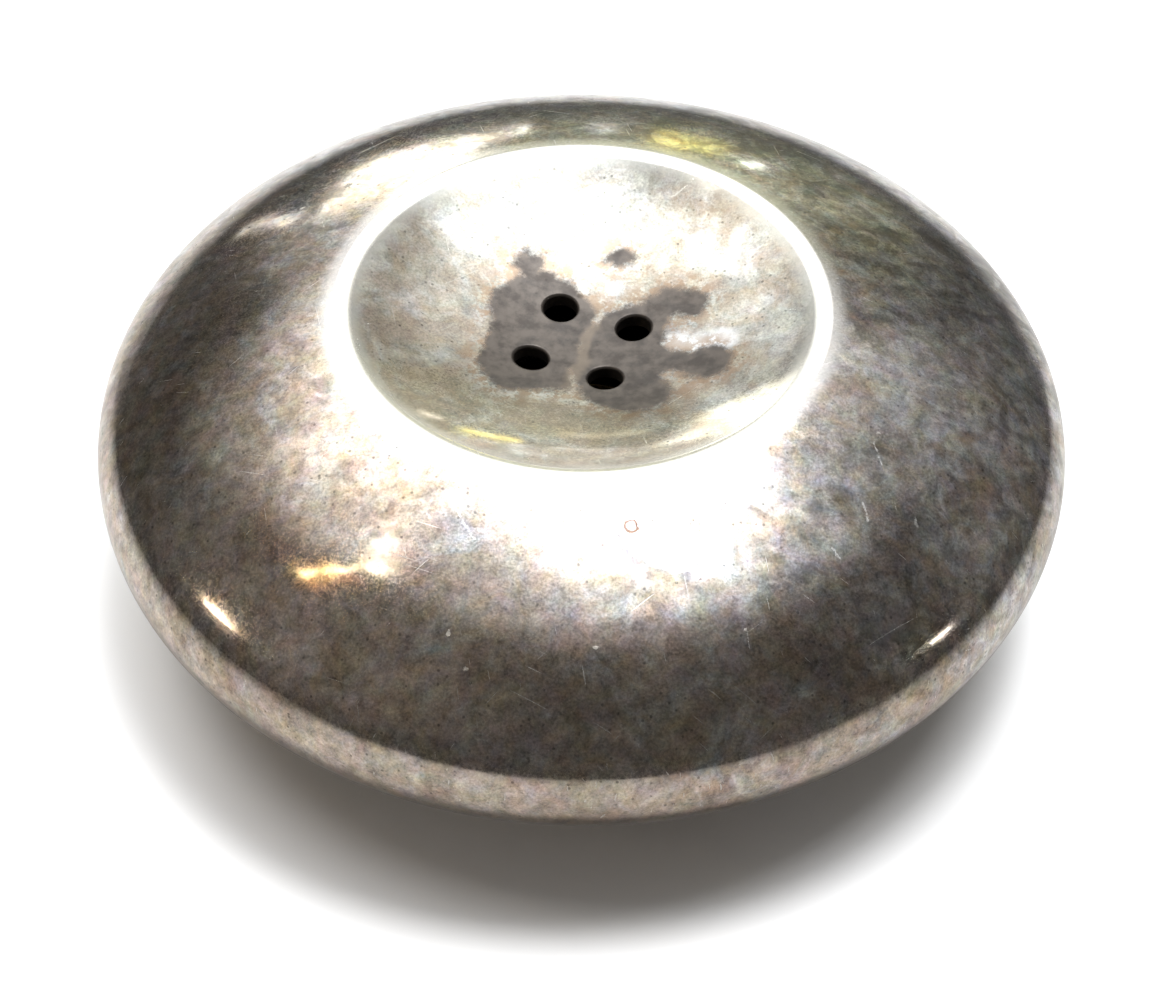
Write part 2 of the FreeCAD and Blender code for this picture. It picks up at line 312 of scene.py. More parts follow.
def base_shell():
    """From the flat bottom outside up to the equator, and back inside and over the well."""
    wall_bend = point(WELL_RADIUS + SHEET + BEND_INSIDE, BOTTOM_Z + SHEET + BEND_INSIDE)
    roof_bend = point(WELL_RADIUS - BEND_INSIDE, WELL_ROOF_Z - BEND_INSIDE)
    outer_bend = BEND_INSIDE + SHEET
    roof_top = WELL_ROOF_Z + SHEET
    surface = Surface()
    surface.turned(
        line(point(wall_bend[0], BOTTOM_Z), point(BOWL_CENTRE[0], BOTTOM_Z)),
        arc(BOWL_CENTRE, BOWL_RADIUS, 180, 180 - EDGE_TILT, 1.2),
        arc(EDGE_CENTRE, EDGE_RADIUS, 180 - EDGE_TILT, 90),
        line(point(BODY_RADIUS, EQUATOR_Z), point(BODY_RADIUS - SHEET, EQUATOR_Z)),
        arc(EDGE_CENTRE, EDGE_RADIUS - SHEET, 90, 180 - EDGE_TILT, 4),
        arc(BOWL_CENTRE, BOWL_RADIUS - SHEET, 180 - EDGE_TILT, 180),
        line(point(BOWL_CENTRE[0], BOTTOM_Z + SHEET), point(wall_bend[0], BOTTOM_Z + SHEET)),
        arc(wall_bend, BEND_INSIDE, 180, 270, 10),
        line(point(WELL_RADIUS + SHEET, wall_bend[1]), point(WELL_RADIUS + SHEET, roof_bend[1])),
        arc(roof_bend, outer_bend, 90, 0, 8),
        line(point(roof_bend[0], roof_top), point(OPENING_RADIUS, roof_top)),
        line(point(OPENING_RADIUS, roof_top), point(OPENING_RADIUS, WELL_ROOF_Z)),
        line(point(OPENING_RADIUS, WELL_ROOF_Z), point(roof_bend[0], WELL_ROOF_Z)),
        arc(roof_bend, BEND_INSIDE, 0, 90, 8),
        line(point(WELL_RADIUS, roof_bend[1]), point(WELL_RADIUS, wall_bend[1])),
        arc(wall_bend, outer_bend, 270, 180, 5),
    )
    return surface


def foot_ring():
    """The wire ring with its fillets of solder, which run a little way into the bowl's sheet."""
    inner = FOOT_OUTER - FOOT_WIDTH
    buried = BOTTOM_Z + SHEET / 4
    outer_round = point(FOOT_OUTER - FOOT_ROUND, FOOT_ROUND)
    inner_round = point(inner + FOOT_ROUND, FOOT_ROUND)
    outer_fillet = point(FOOT_OUTER + SOLDER, BOTTOM_Z - SOLDER)
    rise = BOWL_CENTRE[1] - math.sqrt(BOWL_RADIUS**2 - (outer_fillet[0] - BOWL_CENTRE[0]) ** 2) - BOTTOM_Z
    outer_fillet = outer_fillet + point(0, rise)
    inner_fillet = point(inner - SOLDER, BOTTOM_Z - SOLDER)
    surface = Surface()
    surface.turned(
        line(point(inner_round[0], 0), point(outer_round[0], 0)),
        arc(outer_round, FOOT_ROUND, 180, 90, 6),
        line(point(FOOT_OUTER, FOOT_ROUND), point(FOOT_OUTER, outer_fillet[1])),
        arc(outer_fillet, SOLDER, 270, 360, 10),
        line(point(outer_fillet[0], outer_fillet[1] + SOLDER), point(outer_fillet[0], buried)),
        line(point(outer_fillet[0], buried), point(inner_fillet[0], buried)),
        line(point(inner_fillet[0], buried), point(inner_fillet[0], BOTTOM_Z)),
        arc(inner_fillet, SOLDER, 0, 90, 10),
        line(point(inner, inner_fillet[1]), point(inner, FOOT_ROUND)),
        arc(inner_round, FOOT_ROUND, 270, 180, 6),
    )
    return surface


def plug_face():
    """The plug's disc, rounded below and just eased above."""
    ease = PLUG_ROUND / 3
    corner = point(PLUG_RADIUS - PLUG_ROUND, DISC_UNDER_Z + PLUG_ROUND)
    upper = point(PLUG_RADIUS - ease, DISC_TOP_Z - ease)
    surface = Surface()
    surface.turned(
        line(point(0, DISC_UNDER_Z), point(corner[0], DISC_UNDER_Z)),
        arc(corner, PLUG_ROUND, 180, 90, 7),
        line(point(PLUG_RADIUS, corner[1]), point(PLUG_RADIUS, upper[1])),
        arc(upper, ease, 90, 0, 15),
        line(point(upper[0], DISC_TOP_Z), point(0, DISC_TOP_Z)),
    )
    return surface


def plug_bar():
    """The half-round bar, with rounded ends and a fillet of solder against the disc."""
    half_turn = np.radians(np.linspace(-90, 90, 25))
    ends = np.concatenate([half_turn, half_turn + math.pi])
    ways = np.stack([np.cos(ends), np.sin(ends)], 1)
    reach = BAR_HALF_LENGTH - BAR_HALF_WIDTH
    middles = np.where(np.arange(len(ends)) < len(half_turn), reach, -reach)
    round_height = DISC_UNDER_Z - BAR_UNDER_Z - BAR_FOOT

    def loop(out, down, normal_out, normal_down):
        """A ring round the bar, at that distance out from its middle line and down from the disc."""
        return [
            (
                np.array([middle + out * way[0], out * way[1], DISC_UNDER_Z - down]),
                np.array([normal_out * way[0], normal_out * way[1], -normal_down]),
            )
            for middle, way in zip(middles, ways)
        ]

    back = []
    for t in np.radians(np.linspace(0, 90, 13)):
        out, down = BAR_HALF_WIDTH * math.sin(t), BAR_FOOT + round_height * math.cos(t)
        back.append(loop(out, down, round_height * math.sin(t), BAR_HALF_WIDTH * math.cos(t)))
    fillet = []
    for t in np.radians(np.linspace(0, 90, 7)):
        out = BAR_HALF_WIDTH + SOLDER * (1 - math.cos(t))
        fillet.append(loop(out, SOLDER * (1 - math.sin(t)), math.cos(t), math.sin(t)))
    wide, buried = BAR_HALF_WIDTH + SOLDER, -SHEET / 8
    surface = Surface()
    surface.skin(back)
    surface.skin([loop(BAR_HALF_WIDTH, BAR_FOOT, 1, 0), loop(BAR_HALF_WIDTH, SOLDER, 1, 0)])
    surface.skin(fillet)
    surface.skin([loop(wide, 0, 1, 0), loop(wide, buried, 1, 0)])
    surface.skin([loop(wide, buried, 0, -1), loop(0, buried, 0, -1)])
    return surface


# Materials


class Nodes:
    """Makes shader nodes. An input is a number, a tuple or another node's output."""

    def __init__(self, tree):
        tree.nodes.clear()
        self.tree = tree

    def make(self, kind, inputs=(), **settings):
        node = self.tree.nodes.new(kind)
        for name, value in settings.items():
            setattr(node, name, value)
        for key, value in dict(inputs).items():
            self.set(node.inputs[key], value)
        return node

    def set(self, socket, value):
        if isinstance(value, bpy.types.NodeSocket):
            self.tree.links.new(value, socket)
        else:
            socket.default_value = value

    def math(self, operation, *values, clamp=False):
        node = self.make("ShaderNodeMath", enumerate(values), operation=operation, use_clamp=clamp)
        return node.outputs[0]

    def total(self, *values):
        result = values[0]
        for value in values[1:]:
            result = self.math("ADD", result, value)
        return result

    def product(self, *values):
        result = values[0]
        for value in values[1:]:
            result = self.math("MULTIPLY", result, value)
        return result

    def vector(self, operation, *values):
        node = self.make("ShaderNodeVectorMath", enumerate(values), operation=operation)
        return node.outputs["Value" if operation in ("DISTANCE", "LENGTH", "DOT_PRODUCT") else "Vector"]

    def ease(self, value, low, high, start=0.0, end=1.0):
        """Goes smoothly from start to end while the value goes from low to high."""
        inputs = {"Value": value, "From Min": low, "From Max": high, "To Min": start, "To Max": end}
        return self.make("ShaderNodeMapRange", inputs, interpolation_type="SMOOTHSTEP").outputs[0]

    def noise(self, vector, scale, detail=3.0, roughness=0.5, distortion=0.0):
        inputs = {
            "Vector": vector,
            "Scale": scale,
            "Detail": detail,
            "Roughness": roughness,
            "Distortion": distortion,
        }
        return self.make("ShaderNodeTexNoise", inputs).outputs["Fac"]

    def wander(self, vector, scale):
        """A vector that changes with the place, with each part from -0.5 to 0.5."""
        inputs = {"Vector": vector, "Scale": scale, "Detail": 3.0}
        noise = self.make("ShaderNodeTexNoise", inputs).outputs["Color"]
        return self.vector("SUBTRACT", noise, (0.5, 0.5, 0.5))

    def centred(self, noise):
        """Moves noise from between 0 and 1 to between -0.5 and 0.5."""
        return self.math("SUBTRACT", noise, 0.5)

    def scaled(self, vector, factor):
        node = self.make("ShaderNodeVectorMath", {0: vector}, operation="SCALE")
        self.set(node.inputs["Scale"], factor)
        return node.outputs[0]

    def mix(self, factor, first, second):
        """Mixes two colours."""
        node = self.make("ShaderNodeMix", data_type="RGBA")
        for socket, value in zip((node.inputs[0], node.inputs[6], node.inputs[7]), (factor, first, second)):
            self.set(socket, value)
        return node.outputs[2]

    def millimetres(self):
        """Where the surface is, in millimetres in the frame."""
        place = self.make("ShaderNodeTexCoord").outputs["Object"]
        return self.vector("MULTIPLY", place, (1 / MM,) * 3)

    def parts(self, vector):
        return self.make("ShaderNodeSeparateXYZ", {"Vector": vector}).outputs

    def bump(self, height):
        """The normal that a height in millimetres gives."""
        return self.make("ShaderNodeBump", {"Height": height, "Strength": 1.0, "Distance": MM}).outputs[0]

    def surface(self, **inputs):
        """The material's shader, with inputs by socket name and _ for a space."""
        named = {key.replace("_", " "): value for key, value in inputs.items()}
        shader = self.make("ShaderNodeBsdfPrincipled", named)
        self.make("ShaderNodeOutputMaterial", {"Surface": shader.outputs[0]})


def colour(r, g, b):
    return (r, g, b, 1.0)


def new_material(name):
    material = bpy.data.materials.new(name)
    material.use_nodes = True
    return material, Nodes(material.node_tree)


# Stains round the pouring holes: centre x and y and radius, in millimetres
STAINS = (
    (-2.5, 3.5, 1.9),
    (-3.6, 2.8, 1.5),
    (-1.1, 2.7, 1.5),
    (-2.9, 1.0, 1.8),
    (-0.9, 1.1, 1.2),
    (-1.3, -0.9, 1.1),
    (-2.0, -2.7, 1.2),
    (-3.3, -0.7, 2.1),
    (-3.6, -2.2, 2.1),
    (3.0, 1.3, 1.8),
    (2.0, -0.3, 1.9),
    (1.6, -2.2, 2.1),
    (2.2, -3.6, 2.1),
    (3.4, -4.6, 1.4),
    (3.2, -1.4, 1.8),
    (4.2, 2.6, 1.0),
    (5.2, 3.2, 0.9),
    (6.2, 2.7, 0.7),
    (5.4, -1.9, 0.7),
    (6.4, -2.3, 0.8),
    (7.3, -2.4, 0.95),
    (-3.3, 5.7, 0.35),
    (-3.1, 6.3, 0.4),
    (2.2, 6.5, 0.4),
)
STAIN_BLEND = 0.4  # how far neighbouring discs run together
STAIN_SPREAD = 0.3  # how far the patches reach past their discs
SEAM = ((1.1, 2.9), (-1.0, -4.6))  # the ends of the paler line between the left and right patches
SEAM_EDGE = (0.6, 0.15)  # millimetres beside the seam between which it fades in
SEAM_END = 0.5

# Single marks: points on the surface in millimetres, with a radius
DEPOSITS = (
    (-7.0, -22.2, 17.0, 0.15),
    (-6.0, -23.9, 16.0, 0.14),
    (0.9, -23.2, 17.0, 0.15),
    (8.9, -21.7, 16.8, 0.11),
    (15.7, -23.8, 10.0, 0.36),
)
SMUDGES = (
    (5.7, -19.3, 18.5, 0.35),
    (14.2, -13.3, 18.8, 0.75),
    (12.8, -14.5, 18.8, 0.55),
    (-11.3, 3.0, 18.7, 0.9),
    (-6.5, 6.4, 18.0, 0.7),
)
WIPED = ((5.4, -0.4, 18.0, 0.8), (6.6, -0.6, 18.1, 0.8), (7.9, -0.6, 18.4, 0.9))
# The same, seen from above
BROWNED = ((7.2, 9.0, 0.0, 1.8), (5.4, 10.0, 0.0, 1.5), (-2.5, 5.6, 0.0, 1.0))
THICK_FILM = ((-8.0, 2.5, 0.0, 4.5),)
DRIED_DROP = (2.7, -16.8, 19.7)
DRIED_DROP_RADIUS = 0.32
# Single scratches: both ends on the surface, in millimetres
SCRATCHES = (
    ((-7.0, -15.2, 19.8), (-5.7, -17.4, 19.2)),
    ((-8.6, -15.0, 19.7), (-8.1, -16.0, 19.4)),
    ((-15.7, -0.8, 20.1), (-14.6, -1.2, 20.4)),
    ((-12.9, -11.4, 19.6), (-12.0, -11.8, 19.8)),
    ((16.2, -9.5, 19.0), (16.6, -10.8, 18.6)),
    ((15.4, -13.5, 18.3), (15.7, -14.5, 17.9)),
    ((18.3, -13.6, 17.2), (18.6, -14.3, 16.8)),
    ((13.5, -16.5, 17.9), (14.0, -17.0, 17.6)),
    ((5.2, 10.4, 19.7), (6.5, 11.3, 20.3)),
)
# Fine scratches: the way each set runs in degrees, and an offset that makes the sets differ
SCRATCH_SETS = ((24, 3.0), (78, 11.0), (141, 23.0))
SCRATCH_STRETCH = (0.16, 8.0, 0.9)  # noise features per millimetre along, across and down

# Noise on the silver: features per millimetre, detail, roughness and distortion
CLOUDS = (0.14, 5.0, 0.55, 1.0)
BLOTCHES = (0.42, 4.0, 0.55, 1.4)
MOTTLE = (1.15, 3.0, 0.6, 0.5)
GRAIN = (6.5, 2.0, 0.7)
BROWN_TARNISH = (0.25, 5.0, 0.65, 0.8)
WARM_HUES = (0.75, 4.0, 0.65, 0.6)
GREEN_HUES = (0.6, 4.0, 0.65, 0.5)
LOW_PATCH_NOISE = (0.8, 4.0, 0.65)
RUST = (1.1, 5.0, 0.7)
BROWNING = (1.3, 5.0, 0.7)
EATEN = (1.1, 5.0, 0.6)
DENTS = (0.09, 1.0)
RIPPLES = (0.45, 3.0)

# Heights in millimetres
DENT_HEIGHT = 0.05
RIPPLE_HEIGHT = 0.006
GRAIN_HEIGHT = 0.0003
SCRATCH_HEIGHT = -0.0008
CRUMB_HEIGHT = 0.004
EATEN_HEIGHT = -0.005

# Ranges: from where a share is 0 to where it is 1
PATCH_EDGE = (0.41, 0.59)  # of the noise, for patches of tarnish
DULL_GRAINS = (-0.1, 0.12)  # of the grain
DISH_EDGE = (CREST_RADIUS + 0.3, CREST_RADIUS - 0.9)  # of the radius
WORN_WIDTH = (1.6, 0.5)  # of the distance from the middle of the crest
DARK_LOW_LEVEL = (3.8, 0.9)  # of the height
DARK_LOW_PATCHES = (0.38, 0.56)
PIT_SIZE = (0.26, 0.12)
PIT_CHANCE = (0.62, 0.75)
CRUMB_SIZE = (0.09, 0.05)
CRUMB_CHANCE = (0.86, 0.90)
SCRATCH_WIDTH = (0.10, 0.03)
SCRATCH_CHANCE = (0.75, 0.80)
DROP_LINE = (0.12, 0.03)
FILM_REACH = (5.0, 0.0)  # of the distance from the stains, as are the next two
RUST_REACH = (1.9, 0.1)
STAIN_EDGE = (0.4, -0.35)
RUST_PATCHES = (0.44, 0.56)
BROWNING_PATCHES = (0.44, 0.60)
EATEN_PATCHES = (0.35, 0.65)

# Features per millimetre: the cells that pits and crumbs lie in, and the wander of edges with its reach in mm
PIT_CELLS = 2.3
CRUMB_CELLS = 0.36
RAGGED_WANDER = 2.2
RAGGED_REACH = 0.5
DISH_WANDER = 0.5
DISH_REACH = 1.6

# How much each thing changes the silver
POLISH = 0.07  # the roughness where nothing dulls it
GRAIN_DULLS = 0.05
TARNISH_DULLS = 0.07
LESS_TARNISH_IN_DISH = 0.3
BROWN_TO_FRONT_LEFT = -0.004  # what each millimetre of x + y adds to the noise
BROWN_MOST = 0.6
CALM_IN_DISH = 0.5  # how much weaker the hues and the mottling are there
WARM_SHIFT = (0.5, 0.09, -0.55)
GREEN_SHIFT = (-0.15, 0.25, -0.25)
GRAIN_SHADES = 1.3
MOTTLE_SHADES = 1.5
DARKEST_SHADE = 0.25
FILM_DARKENS = 0.26
FILM_DARKENS_NEAR_STAINS = 0.22
THICK_FILM_DARKENS = 0.12
FILM_SMOOTHS = 0.03
SEAM_MOST = 0.45
GRAIN_FRAYS = 0.4  # how far the grain and the mottling move the stains' edges, in millimetres
MOTTLE_FRAYS = 0.7

BRIGHT_PLATE = colour(0.72, 0.70, 0.67)
DULL_PLATE = colour(0.27, 0.25, 0.23)
BROWN_PLATE = colour(0.46, 0.355, 0.27)
WORN_PLATE = colour(0.88, 0.86, 0.84)
WIPED_PLATE = colour(0.85, 0.87, 0.90)
SCRATCHED_PLATE = colour(0.75, 0.73, 0.70)
CRUMB_COLOUR = colour(0.56, 0.54, 0.47)
DRIED_COLOUR = colour(0.10, 0.05, 0.03)
# Colour of the darker, duller patches towards the bottom
DARK_LOW_COLOUR = colour(0.13, 0.105, 0.085)
RUST_COLOUR = colour(0.20, 0.135, 0.085)
EATEN_DARK = colour(0.038, 0.031, 0.027)
EATEN_PALE = colour(0.082, 0.071, 0.062)
SEAM_COLOUR = colour(0.17, 0.135, 0.10)
CLEAR = colour(1.0, 1.0, 1.0)
FILM_TINT = colour(0.98, 1.0, 0.94)


def stain_depth(n, at):
    """Millimetres from the edge of the patches where salt has eaten the plate, less than 0 inside them."""
    nearest = 99.0
    for x, y, radius in STAINS:
        gap = n.math("SUBTRACT", n.vector("DISTANCE", at, (x, y, 0.0)), radius)
        nearest = n.math("SMOOTH_MIN", nearest, gap, STAIN_BLEND)
    return n.math("SUBTRACT", nearest, STAIN_SPREAD)


def seam(n, at):
    """1 on the seam, falling to 0 beside it and past its ends."""
    start, end = (np.array(end) for end in SEAM)
    reach = np.linalg.norm(end - start) / 2
    along = (end - start) / (2 * reach)
    off = n.vector("SUBTRACT", at, (*(start + end) / 2, 0.0))
    beside = n.math("ABSOLUTE", n.vector("DOT_PRODUCT", off, (along[1], -along[0], 0.0)))
    from_middle = n.math("ABSOLUTE", n.vector("DOT_PRODUCT", off, (*along, 0.0)))
    return n.product(n.ease(beside, *SEAM_EDGE), n.ease(from_middle, reach, reach - SEAM_END))


def spots(n, at, places, sharp):
    """1 inside spheres about the places, falling off to 0 outside."""
    most = 0.0
    for x, y, z, radius in places:
        away = n.vector("DISTANCE", at, (x, y, z))
        most = n.math("MAXIMUM", most, n.ease(away, radius * (2 - sharp), radius * sharp))
    return most


def single_scratches(n, at):
    """1 on the single scratches and 0 off them."""
    most = 0.0
    for start, end in SCRATCHES:
        way = np.subtract(end, start)
        from_start = n.vector("SUBTRACT", at, start)
        share = n.vector("DOT_PRODUCT", from_start, tuple(way / (way @ way)))
        share = n.math("MAXIMUM", n.math("MINIMUM", share, 1.0), 0.0)
        away = n.vector("DISTANCE", from_start, n.scaled(tuple(way), share))
        most = n.math("MAXIMUM", most, n.ease(away, *SCRATCH_WIDTH))
    return most


def fine_scratches(n, place):
    """Sparse straight scratches along a few directions, from 0 to 1."""
    most = 0.0
    for angle, seed in SCRATCH_SETS:
        turn = {"Vector": place, "Rotation": (0.0, 0.0, math.radians(angle)), "Location": (seed, -seed, seed)}
        turned = n.make("ShaderNodeMapping", turn).outputs[0]
        streaks = n.noise(n.vector("MULTIPLY", turned, SCRATCH_STRETCH), 1.0, 1.0)
        most = n.math("MAXIMUM", most, n.ease(streaks, *SCRATCH_CHANCE))
    return most


class Silver:
    """Tarnished silver plate. Each method adds something that has worn it, lies on it or darkens it."""

    def __init__(self, n, with_dish):
        self.n = n
        self.place = n.millimetres()
        x, y, self.z = n.parts(self.place)
        self.aside = n.total(x, y)
        self.radius = n.math("SQRT", n.total(n.product(x, x), n.product(y, y)))
        self.in_dish = n.ease(self.radius, *DISH_EDGE) if with_dish else 0.0
        self.grain = n.centred(n.noise(self.place, *GRAIN))
        self.mottle = n.centred(n.noise(self.place, *MOTTLE))
        frayed = n.scaled(n.wander(self.place, RAGGED_WANDER), RAGGED_REACH)
        self.ragged = n.vector("ADD", self.place, frayed)
        self.rough = n.total(POLISH, n.product(n.ease(self.grain, *DULL_GRAINS), GRAIN_DULLS))
        self.height = n.total(
            n.product(n.noise(self.place, *DENTS), DENT_HEIGHT),
            n.product(n.noise(self.place, *RIPPLES), RIPPLE_HEIGHT),
            n.product(self.grain, GRAIN_HEIGHT),
        )
        self.metal = 1.0
        self.base = self.tarnished()

    def less(self, share, amount):
        """1 where the share is 0, and less by the amount where it is 1."""
        return self.n.total(1.0, self.n.product(share, -amount))

    def tarnished(self):
        """Cloudy tarnish, with patches of brown, small changes of hue, mottling and grain."""
        n = self.n
        clouds = n.ease(n.noise(self.place, *CLOUDS), *PATCH_EDGE)
        blotches = n.ease(n.noise(self.place, *BLOTCHES), *PATCH_EDGE)
        thinner = self.less(self.in_dish, LESS_TARNISH_IN_DISH)
        tarnish = n.product(n.total(clouds, blotches), 0.5, thinner)
        self.rough = n.total(self.rough, n.product(tarnish, TARNISH_DULLS))
        to_front_left = n.product(self.aside, BROWN_TO_FRONT_LEFT)
        brown = n.total(n.noise(self.moved(31, 7, 5), *BROWN_TARNISH), to_front_left)
        base = n.mix(tarnish, BRIGHT_PLATE, DULL_PLATE)
        base = n.mix(n.product(n.ease(brown, *PATCH_EDGE), BROWN_MOST), base, BROWN_PLATE)
        calm = self.less(self.in_dish, CALM_IN_DISH)
        warm = n.centred(n.noise(self.moved(3, 19, 8), *WARM_HUES))
        green = n.centred(n.noise(self.moved(9, 2, 27), *GREEN_HUES))
        hue = n.vector("ADD", n.scaled(WARM_SHIFT, warm), n.scaled(GREEN_SHIFT, green))
        base = n.vector("MULTIPLY", base, n.vector("ADD", n.scaled(hue, calm), CLEAR[:3]))
        shade = n.total(1.0, n.product(self.grain, GRAIN_SHADES), n.product(self.mottle, calm, MOTTLE_SHADES))
        return n.scaled(base, n.math("MAXIMUM", shade, DARKEST_SHADE))

    def moved(self, x, y, z):
        """The place, moved so that a noise on it differs from the others."""
        return self.n.vector("ADD", self.place, (x, y, z))

    def darken(self, share, amount):
        self.base = self.n.scaled(self.base, self.less(share, amount))

    def cover(self, share, tint, most, rough=0.0, height=0.0):
        """Lays on a colour, up to that share, with what it adds to the roughness and the height."""
        n = self.n
        self.base = n.mix(n.product(share, most), self.base, tint)
        if rough:
            self.rough = n.total(self.rough, n.product(share, rough))
        if height:
            self.height = n.total(self.height, n.product(share, height))

    def cells(self, at, scale):
        """Distance to the middle of the nearest cell, and that cell's random number."""
        node = self.n.make("ShaderNodeTexVoronoi", {"Vector": at, "Scale": scale}, feature="F1")
        return node.outputs["Distance"], self.n.parts(node.outputs["Color"])[0]

    def pit(self):
        n = self.n
        away, chance = self.cells(self.place, PIT_CELLS)
        pits = n.product(n.ease(away, *PIT_SIZE), n.ease(chance, *PIT_CHANCE))
        self.darken(pits, amount=0.5)
        self.rough = n.total(self.rough, n.product(pits, 0.1))

    def darken_low(self):
        """Darker, duller patches towards the bottom, low on the foot and in the well."""
        n = self.n
        patches = n.ease(n.noise(self.place, *LOW_PATCH_NOISE), *DARK_LOW_PATCHES)
        darker_low = n.product(n.ease(self.z, *DARK_LOW_LEVEL), patches)
        self.cover(darker_low, DARK_LOW_COLOUR, most=0.65, rough=0.25)
        self.metal = self.less(darker_low, amount=0.4)

    def scratch(self):
        n = self.n
        marks = n.math("MAXIMUM", fine_scratches(n, self.place), single_scratches(n, self.ragged))
        self.cover(marks, SCRATCHED_PLATE, most=0.55, rough=0.15, height=SCRATCH_HEIGHT)

    def crumbs(self):
        """Small specks of dried salt and polish."""
        n = self.n
        away, chance = self.cells(self.ragged, CRUMB_CELLS)
        specks = n.product(n.ease(away, *CRUMB_SIZE), n.ease(chance, *CRUMB_CHANCE), 0.8)
        specks = n.math("MAXIMUM", specks, spots(n, self.ragged, DEPOSITS, sharp=0.6))
        self.cover(specks, CRUMB_COLOUR, most=0.5, rough=0.35, height=CRUMB_HEIGHT)

    def dried_drop(self):
        n = self.n
        ring = n.math("SUBTRACT", n.vector("DISTANCE", self.ragged, DRIED_DROP), DRIED_DROP_RADIUS)
        self.cover(n.ease(n.math("ABSOLUTE", ring), *DROP_LINE), DRIED_COLOUR, most=0.9)

    def worn_crest(self):
        off_crest = self.n.math("ABSOLUTE", self.n.math("SUBTRACT", self.radius, CREST_RADIUS))
        self.cover(self.n.ease(off_crest, *WORN_WIDTH), WORN_PLATE, most=0.7, rough=0.08)

    def dish(self):
        """The milky film in the dish, and what salt has done round the pouring holes."""
        n = self.n
        flat = n.vector("MULTIPLY", self.place, (1.0, 1.0, 0.0))
        frayed = n.vector("MULTIPLY", n.wander(self.place, DISH_WANDER), (DISH_REACH, DISH_REACH, 0.0))
        at = n.vector("ADD", flat, frayed)
        depth = stain_depth(n, at)
        film = n.total(
            1.0,
            n.product(self.in_dish, -FILM_DARKENS),
            n.product(n.ease(depth, *FILM_REACH), -FILM_DARKENS_NEAR_STAINS),
            n.product(spots(n, at, THICK_FILM, sharp=0.2), -THICK_FILM_DARKENS),
        )
        self.base = n.vector("MULTIPLY", n.scaled(self.base, film), n.mix(self.in_dish, CLEAR, FILM_TINT))
        self.rough = n.total(self.rough, n.product(self.in_dish, -FILM_SMOOTHS))
        self.metal = self.less(self.in_dish, amount=0.3)
        self.cover(spots(n, self.ragged, WIPED, sharp=0.4), WIPED_PLATE, most=0.4)
        rust = n.product(n.ease(depth, *RUST_REACH), n.ease(n.noise(self.place, *RUST), *RUST_PATCHES))
        browning = n.ease(n.noise(self.place, *BROWNING), *BROWNING_PATCHES)
        browned = n.product(spots(n, at, BROWNED, sharp=0.2), browning)
        self.cover(n.math("MAXIMUM", rust, n.product(browned, 0.5)), RUST_COLOUR, most=0.8)
        eaten = n.mix(n.ease(n.noise(self.place, *EATEN), *EATEN_PATCHES), EATEN_DARK, EATEN_PALE)
        eaten = n.mix(n.product(seam(n, at), SEAM_MOST), eaten, SEAM_COLOUR)
        uneven = n.total(depth, n.product(self.grain, GRAIN_FRAYS), n.product(self.mottle, MOTTLE_FRAYS))
        self.cover(n.ease(uneven, *STAIN_EDGE), eaten, most=0.96, rough=0.25, height=EATEN_HEIGHT)


def silver(name, with_dish):
    material, n = new_material(name)
    look = Silver(n, with_dish)
    look.pit()
    look.darken(spots(n, look.ragged, SMUDGES, sharp=0.4), amount=0.5)
    look.darken_low()
    look.scratch()
    look.crumbs()
    look.dried_drop()
    if with_dish:
        look.worn_crest()
        look.dish()
    n.surface(Base_Color=look.base, Metallic=look.metal, Roughness=look.rough, Normal=n.bump(look.height))
    return material


BRIGHT_BRASS = colour(0.62, 0.45, 0.20)
DULL_BRASS = colour(0.30, 0.215, 0.12)
BRASS_CLOUDS = (0.7, 5.0, 0.6, 0.8)
BRASS_PATCHES = (0.35, 0.68)
BRASS_GRAIN = (5.0, 3.0)
BRASS_GRAIN_HEIGHT = 0.004
TURNING_MARKS = 52.0  # radians per millimetre of radius
TURNING_MARK_HEIGHT = 0.0008

CORK_CELLS = 1.3  # granules per millimetre
CORK_GAP = (0.08, 0.0)
CORK_GAP_HEIGHT = -0.05
CORK_BARK = (2.4, 4.0, 0.7)
CORK_BARK_PATCHES = (0.52, 0.66)
CORK_GRAIN = (6.0, 3.0)
CORK_GRAIN_HEIGHT = 0.03
DARK_CORK = colour(0.44, 0.28, 0.155)
PALE_CORK = colour(0.60, 0.42, 0.25)
BARK = colour(0.15, 0.085, 0.05)


def brass():
    """Bare brass gone dull, with turning marks."""
    material, n = new_material("bare_brass")
    place = n.millimetres()
    dull = n.ease(n.noise(place, *BRASS_CLOUDS), *BRASS_PATCHES)
    grain = n.noise(place, *BRASS_GRAIN)
    base = n.mix(dull, BRIGHT_BRASS, DULL_BRASS)
    rough = n.total(0.26, n.product(dull, 0.2), n.product(grain, 0.1))
    x, y, z = n.parts(place)
    radius = n.math("SQRT", n.total(n.product(x, x), n.product(y, y)))
    rings = n.math("SINE", n.product(radius, TURNING_MARKS))
    height = n.total(n.product(rings, TURNING_MARK_HEIGHT), n.product(grain, BRASS_GRAIN_HEIGHT))
    n.surface(Base_Color=base, Metallic=1.0, Roughness=rough, Normal=n.bump(height))
    return material


